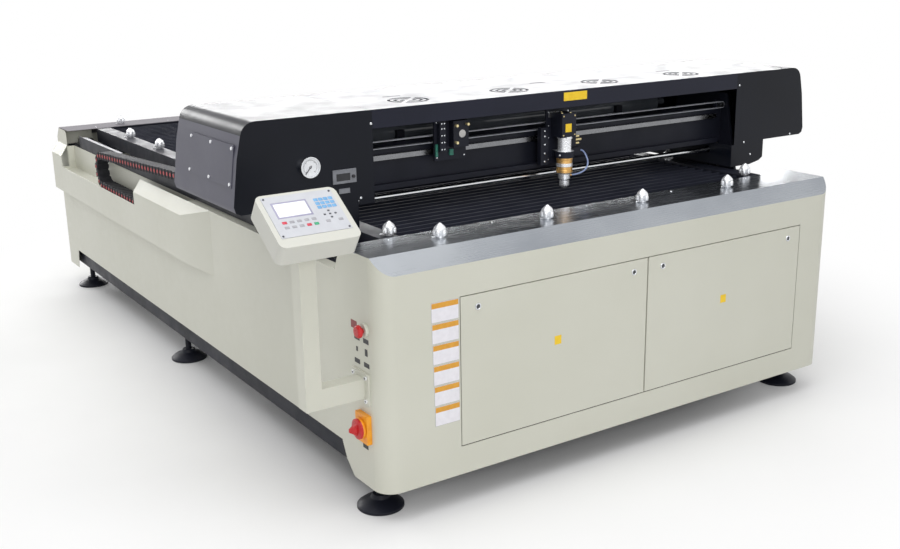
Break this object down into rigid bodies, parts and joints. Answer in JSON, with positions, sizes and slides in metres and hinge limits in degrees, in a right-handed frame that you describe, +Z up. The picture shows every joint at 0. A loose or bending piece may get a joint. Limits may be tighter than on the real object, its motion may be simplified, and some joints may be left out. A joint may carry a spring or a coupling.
{
  "type": "carbon dioxide laser cutting machine",
  "caption": "Flat bed laser cutting machine with a moving gantry, belt-driven cutting head and mirror, a bladed table, folded sheet body and a control panel on a side arm.",
  "frame": {"origin": "on the floor, under the middle of the box around the whole machine", "axes": "+Z up, +X from the control panel side to the other side, +Y from the front table to the rear; the gantry travels along Y and the heads along X"},
  "size_m": [2.44, 3.3296, 1.162],
  "materials": {
    "ivory_paint": "satin",
    "black_paint": "satin",
    "grey_paint": "satin",
    "ground_steel": "ground",
    "stainless": "brushed",
    "chrome": "polished",
    "aluminium": "satin",
    "belt_rubber": "matte",
    "belt_white": "matte",
    "black_plastic": "satin",
    "keypad_film": "gloss",
    "yellow_plastic": "gloss",
    "red_plastic": "gloss",
    "tube_glass": "clear",
    "hose_plastic": "clear blue"
  },
  "bodies": {
    "frame": {"chassis": "black_paint", "levelling_feet": "black_paint", "side_beams": "black_paint", "y_rails": "ground_steel", "y_belts": "belt_rubber", "side_panel_left": "ivory_paint", "side_panel_right": "ivory_paint", "chain_trough": "ivory_paint", "chain_lower": "black_plastic", "front_cabinet": "ivory_paint", "rear_cabinet": "ivory_paint", "front_table": "stainless", "rear_table": "stainless", "bed_frame": "black_paint", "bed_blades": "black_paint", "bed_clamps": "chrome", "bay_bulkhead": "stainless", "drive_electrics": "grey_paint", "control_arm": "ivory_paint", "control_box": "ivory_paint", "keypad_panel": "keypad_film", "switch_bases": "yellow_plastic"},
    "gantry": {"gantry_beam": "black_paint", "gantry_legs": "black_paint", "left_cover": "black_paint", "right_cover": "black_paint", "top_cover": "black_paint", "access_covers": "black_paint", "x_rail": "ground_steel", "x_belt": "belt_white", "laser_tube": "tube_glass", "tube_mounts": "black_paint", "gauge_case": "chrome", "display_unit": "black_plastic", "drive_motors": "grey_paint", "chain_upper": "black_plastic", "belt_loops": "belt_rubber"},
    "head": {"head_carriage": "black_paint", "laser_head": "chrome", "air_hose": "hose_plastic"},
    "lens": {"lens_tube": "chrome"},
    "mirror": {"mirror_carriage": "black_paint"},
    "shaft": {"cross_shaft": "chrome"},
    "idler_front_left": {"idler_1": "ground_steel"},
    "idler_rear_left": {"idler_2": "ground_steel"},
    "idler_front_right": {"idler_3": "ground_steel"},
    "idler_rear_right": {"idler_4": "ground_steel"},
    "belt_pulley_left": {"x_pulley_left": "aluminium"},
    "belt_pulley_right": {"x_pulley_right": "aluminium"},
    "needle": {"gauge_needle": "black_plastic"},
    "door_left": {"door_left": "ivory_paint"},
    "door_right": {"door_right": "ivory_paint"},
    "lock_1": {"lock_1": "chrome"},
    "lock_2": {"lock_2": "chrome"},
    "lock_3": {"lock_3": "chrome"},
    "lock_4": {"lock_4": "chrome"},
    "stop_button": {"estop_button": "red_plastic"},
    "main_switch": {"main_switch": "red_plastic"},
    "chain_bend": {"chain_bend": "black_plastic"}
  },
  "joints": [
    {"name": "gantry_slide", "type": "slide", "parent": "frame", "child": "gantry", "axis": [0, 1, 0], "range_m": [0, 2.25], "deforming": ["chain_upper"]},
    {"name": "shaft_spin", "type": "hinge", "parent": "gantry", "child": "shaft", "pos_m": [0.019, -1.15523, 0.864], "axis": [1, 0, 0], "range_deg": [0, 4870]},
    {"name": "idler_front_left_spin", "type": "hinge", "parent": "gantry", "child": "idler_front_left", "pos_m": [-0.817, -1.19723, 0.755], "axis": [1, 0, 0], "range_deg": [-8330, 0]},
    {"name": "idler_rear_left_spin", "type": "hinge", "parent": "gantry", "child": "idler_rear_left", "pos_m": [-0.817, -1.11323, 0.755], "axis": [1, 0, 0], "range_deg": [-8330, 0]},
    {"name": "idler_front_right_spin", "type": "hinge", "parent": "gantry", "child": "idler_front_right", "pos_m": [0.855, -1.19723, 0.755], "axis": [1, 0, 0], "range_deg": [-8330, 0]},
    {"name": "idler_rear_right_spin", "type": "hinge", "parent": "gantry", "child": "idler_rear_right", "pos_m": [0.855, -1.11323, 0.755], "axis": [1, 0, 0], "range_deg": [-8330, 0]},
    {"name": "chain_bend_slide", "type": "slide", "parent": "frame", "child": "chain_bend", "axis": [0, 1, 0], "range_m": [0, 0.55], "deforming": ["chain_lower"]},
    {"name": "head_slide", "type": "slide", "parent": "gantry", "child": "head", "axis": [1, 0, 0], "range_m": [-0.2, 0.66]},
    {"name": "mirror_slide", "type": "slide", "parent": "gantry", "child": "mirror", "axis": [1, 0, 0], "range_m": [-0.2, 0.66]},
    {"name": "belt_pulley_left_spin", "type": "hinge", "parent": "gantry", "child": "belt_pulley_left", "pos_m": [-0.781, -1.18523, 1.037], "axis": [0, 1, 0], "range_deg": [-1100, 3500]},
    {"name": "belt_pulley_right_spin", "type": "hinge", "parent": "gantry", "child": "belt_pulley_right", "pos_m": [0.85, -1.18523, 1.037], "axis": [0, 1, 0], "range_deg": [-1100, 3500]},
    {"name": "focus_slide", "type": "slide", "parent": "head", "child": "lens", "axis": [0, 0, 1], "range_m": [-0.02, 0]},
    {"name": "needle_turn", "type": "hinge", "parent": "gantry", "child": "needle", "pos_m": [-0.944, -1.29123, 1.015], "axis": [0, 1, 0], "range_deg": [0, 265], "stiffness_Nm_per_rad": 0.002},
    {"name": "door_left_hinge", "type": "hinge", "parent": "frame", "child": "door_left", "pos_m": [-0.2955, -1.62723, 0.201], "axis": [1, 0, 0], "range_deg": [0, 90]},
    {"name": "door_right_hinge", "type": "hinge", "parent": "frame", "child": "door_right", "pos_m": [0.4375, -1.62723, 0.201], "axis": [1, 0, 0], "range_deg": [0, 90]},
    {"name": "lock_1_turn", "type": "hinge", "parent": "door_left", "child": "lock_1", "pos_m": [-0.598, -1.62523, 0.617], "axis": [0, -1, 0], "range_deg": [0, 90]},
    {"name": "lock_2_turn", "type": "hinge", "parent": "door_left", "child": "lock_2", "pos_m": [0.01, -1.62523, 0.617], "axis": [0, -1, 0], "range_deg": [0, 90]},
    {"name": "lock_3_turn", "type": "hinge", "parent": "door_right", "child": "lock_3", "pos_m": [0.136, -1.62523, 0.617], "axis": [0, -1, 0], "range_deg": [0, 90]},
    {"name": "lock_4_turn", "type": "hinge", "parent": "door_right", "child": "lock_4", "pos_m": [0.741, -1.62523, 0.617], "axis": [0, -1, 0], "range_deg": [0, 90]},
    {"name": "stop_button_press", "type": "slide", "parent": "frame", "child": "stop_button", "axis": [1, 0, 0], "range_m": [0, 0.004], "stiffness_N_per_m": 3000},
    {"name": "main_switch_turn", "type": "hinge", "parent": "frame", "child": "main_switch", "pos_m": [-0.961, -1.54123, 0.29], "axis": [-1, 0, 0], "range_deg": [0, 90]}
  ],
  "couplings": [
    {"joint": "shaft_spin", "follows": "gantry_slide", "rad_per_m": 37.736},
    {"joint": "idler_front_left_spin", "follows": "gantry_slide", "rad_per_m": -64.516},
    {"joint": "idler_rear_left_spin", "follows": "gantry_slide", "rad_per_m": -64.516},
    {"joint": "idler_front_right_spin", "follows": "gantry_slide", "rad_per_m": -64.516},
    {"joint": "idler_rear_right_spin", "follows": "gantry_slide", "rad_per_m": -64.516},
    {"joint": "chain_bend_slide", "follows": "gantry_slide", "ratio": 0.24},
    {"joint": "mirror_slide", "follows": "head_slide", "ratio": 1},
    {"joint": "belt_pulley_left_spin", "follows": "head_slide", "rad_per_m": 90.909},
    {"joint": "belt_pulley_right_spin", "follows": "head_slide", "rad_per_m": 90.909}
  ]
}
